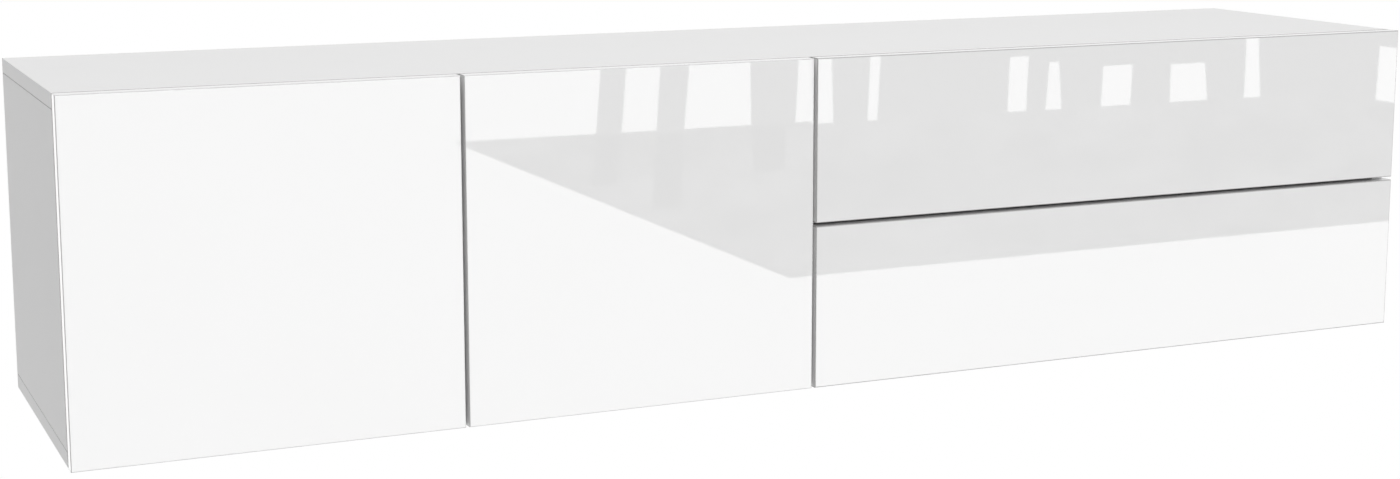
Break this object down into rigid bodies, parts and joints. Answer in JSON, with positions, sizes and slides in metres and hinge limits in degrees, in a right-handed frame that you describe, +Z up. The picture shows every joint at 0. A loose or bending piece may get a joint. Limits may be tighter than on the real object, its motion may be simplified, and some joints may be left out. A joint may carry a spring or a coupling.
{
  "type": "floating media console",
  "caption": "Wall-hung media console in gloss white with push-to-open doors on the left and wide drawers on the right, on cabinet hangers.",
  "frame": {"origin": "middle of the back, on the wall plane, at half the height and half the width", "axes": "+X to the right as seen from the front, +Y back into the wall, +Z up"},
  "size_m": [1.62, 0.37, 0.37],
  "materials": {
    "gloss_front": "high-gloss white foil on board",
    "gloss_carcass": "smooth white foil on board, satin gloss",
    "white_board": "white melamine on board",
    "drawer_board": "white melamine on board",
    "thin_board": "white-faced hardboard",
    "beech": "turned beech",
    "zinc": "bright zinc die casting",
    "nickel": "nickel-plated steel",
    "slide_steel": "bright zinc-plated steel",
    "ball_cage": "plain steel strip with balls",
    "plate_steel": "zinc-plated steel",
    "screw_steel": "bright zinc-plated screws",
    "grey_plastic": "moulded grey plastic",
    "white_plastic": "moulded white plastic",
    "plunger_plastic": "moulded pale plastic"
  },
  "bodies": {
    "carcass": {"top_panel": "gloss_carcass", "bottom_panel": "gloss_carcass", "left_side_panel": "gloss_carcass", "right_side_panel": "gloss_carcass", "left_partition": "white_board", "right_partition": "white_board", "left_shelf": "white_board", "middle_shelf": "white_board", "left_back_panel": "thin_board", "middle_back_panel": "thin_board", "right_back_panel": "thin_board", "shelf_pins": "nickel", "cam_locks": "zinc", "cam_bolts": "zinc", "carcass_dowels": "beech", "hanger_bodies": "white_plastic", "hanger_hooks": "plate_steel", "hanger_screws": "screw_steel", "wall_plates": "plate_steel", "hinge_arms": "nickel", "hinge_plates": "nickel", "hinge_plate_screws": "screw_steel", "door_latch_housings": "grey_plastic", "slide_cabinet_members": "slide_steel", "slide_screws": "screw_steel", "drawer_push_housings": "grey_plastic"},
    "left_door": {"left_door": "gloss_front", "left_hinge_cups": "nickel", "left_hinge_pins": "nickel", "left_cup_screws": "screw_steel", "left_strike_plate": "nickel"},
    "left_latch_plunger": {"left_latch_plunger": "plunger_plastic"},
    "middle_door": {"middle_door": "gloss_front", "middle_hinge_cups": "nickel", "middle_hinge_pins": "nickel", "middle_cup_screws": "screw_steel", "middle_strike_plate": "nickel"},
    "middle_latch_plunger": {"middle_latch_plunger": "plunger_plastic"},
    "upper_drawer": {"upper_drawer_front": "gloss_front", "upper_drawer_left_side": "drawer_board", "upper_drawer_right_side": "drawer_board", "upper_drawer_back": "drawer_board", "upper_drawer_bottom": "thin_board", "upper_drawer_dowels": "beech", "upper_slide_drawer_members": "slide_steel"},
    "upper_slide_middle": {"upper_slide_middle_members": "slide_steel", "upper_ball_cages": "ball_cage"},
    "upper_drawer_plungers": {"upper_drawer_plungers": "plunger_plastic"},
    "lower_drawer": {"lower_drawer_front": "gloss_front", "lower_drawer_left_side": "drawer_board", "lower_drawer_right_side": "drawer_board", "lower_drawer_back": "drawer_board", "lower_drawer_bottom": "thin_board", "lower_drawer_dowels": "beech", "lower_slide_drawer_members": "slide_steel"},
    "lower_slide_middle": {"lower_slide_middle_members": "slide_steel", "lower_ball_cages": "ball_cage"},
    "lower_drawer_plungers": {"lower_drawer_plungers": "plunger_plastic"}
  },
  "joints": [
    {"name": "left_door_swing", "type": "hinge", "parent": "carcass", "child": "left_door", "pos_m": [-0.804, -0.3645, 0], "axis": [0, 0, -1], "range_deg": [0, 95]},
    {"name": "middle_door_swing", "type": "hinge", "parent": "carcass", "child": "middle_door", "pos_m": [-0.397, -0.3645, 0], "axis": [0, 0, -1], "range_deg": [0, 95]},
    {"name": "upper_drawer_slide", "type": "slide", "parent": "carcass", "child": "upper_drawer", "axis": [0, -1, 0], "range_m": [0, 0.28]},
    {"name": "lower_drawer_slide", "type": "slide", "parent": "carcass", "child": "lower_drawer", "axis": [0, -1, 0], "range_m": [0, 0.28]},
    {"name": "upper_slide_extension", "type": "slide", "parent": "carcass", "child": "upper_slide_middle", "axis": [0, -1, 0], "range_m": [0, 0.14]},
    {"name": "upper_drawer_push", "type": "slide", "parent": "carcass", "child": "upper_drawer_plungers", "axis": [0, -1, 0], "range_m": [0, 0.016]},
    {"name": "lower_slide_extension", "type": "slide", "parent": "carcass", "child": "lower_slide_middle", "axis": [0, -1, 0], "range_m": [0, 0.14]},
    {"name": "lower_drawer_push", "type": "slide", "parent": "carcass", "child": "lower_drawer_plungers", "axis": [0, -1, 0], "range_m": [0, 0.016]},
    {"name": "left_latch_push", "type": "slide", "parent": "carcass", "child": "left_latch_plunger", "axis": [0, -1, 0], "range_m": [0, 0.014]},
    {"name": "middle_latch_push", "type": "slide", "parent": "carcass", "child": "middle_latch_plunger", "axis": [0, -1, 0], "range_m": [0, 0.014]}
  ],
  "couplings": [
    {"joint": "upper_slide_extension", "follows": "upper_drawer_slide", "ratio": 0.5},
    {"joint": "upper_drawer_push", "follows": "upper_drawer_slide", "ratio": 0.057},
    {"joint": "lower_slide_extension", "follows": "lower_drawer_slide", "ratio": 0.5},
    {"joint": "lower_drawer_push", "follows": "lower_drawer_slide", "ratio": 0.057},
    {"joint": "left_latch_push", "follows": "left_door_swing", "m_per_rad": 0.0084},
    {"joint": "middle_latch_push", "follows": "middle_door_swing", "m_per_rad": 0.0084}
  ]
}
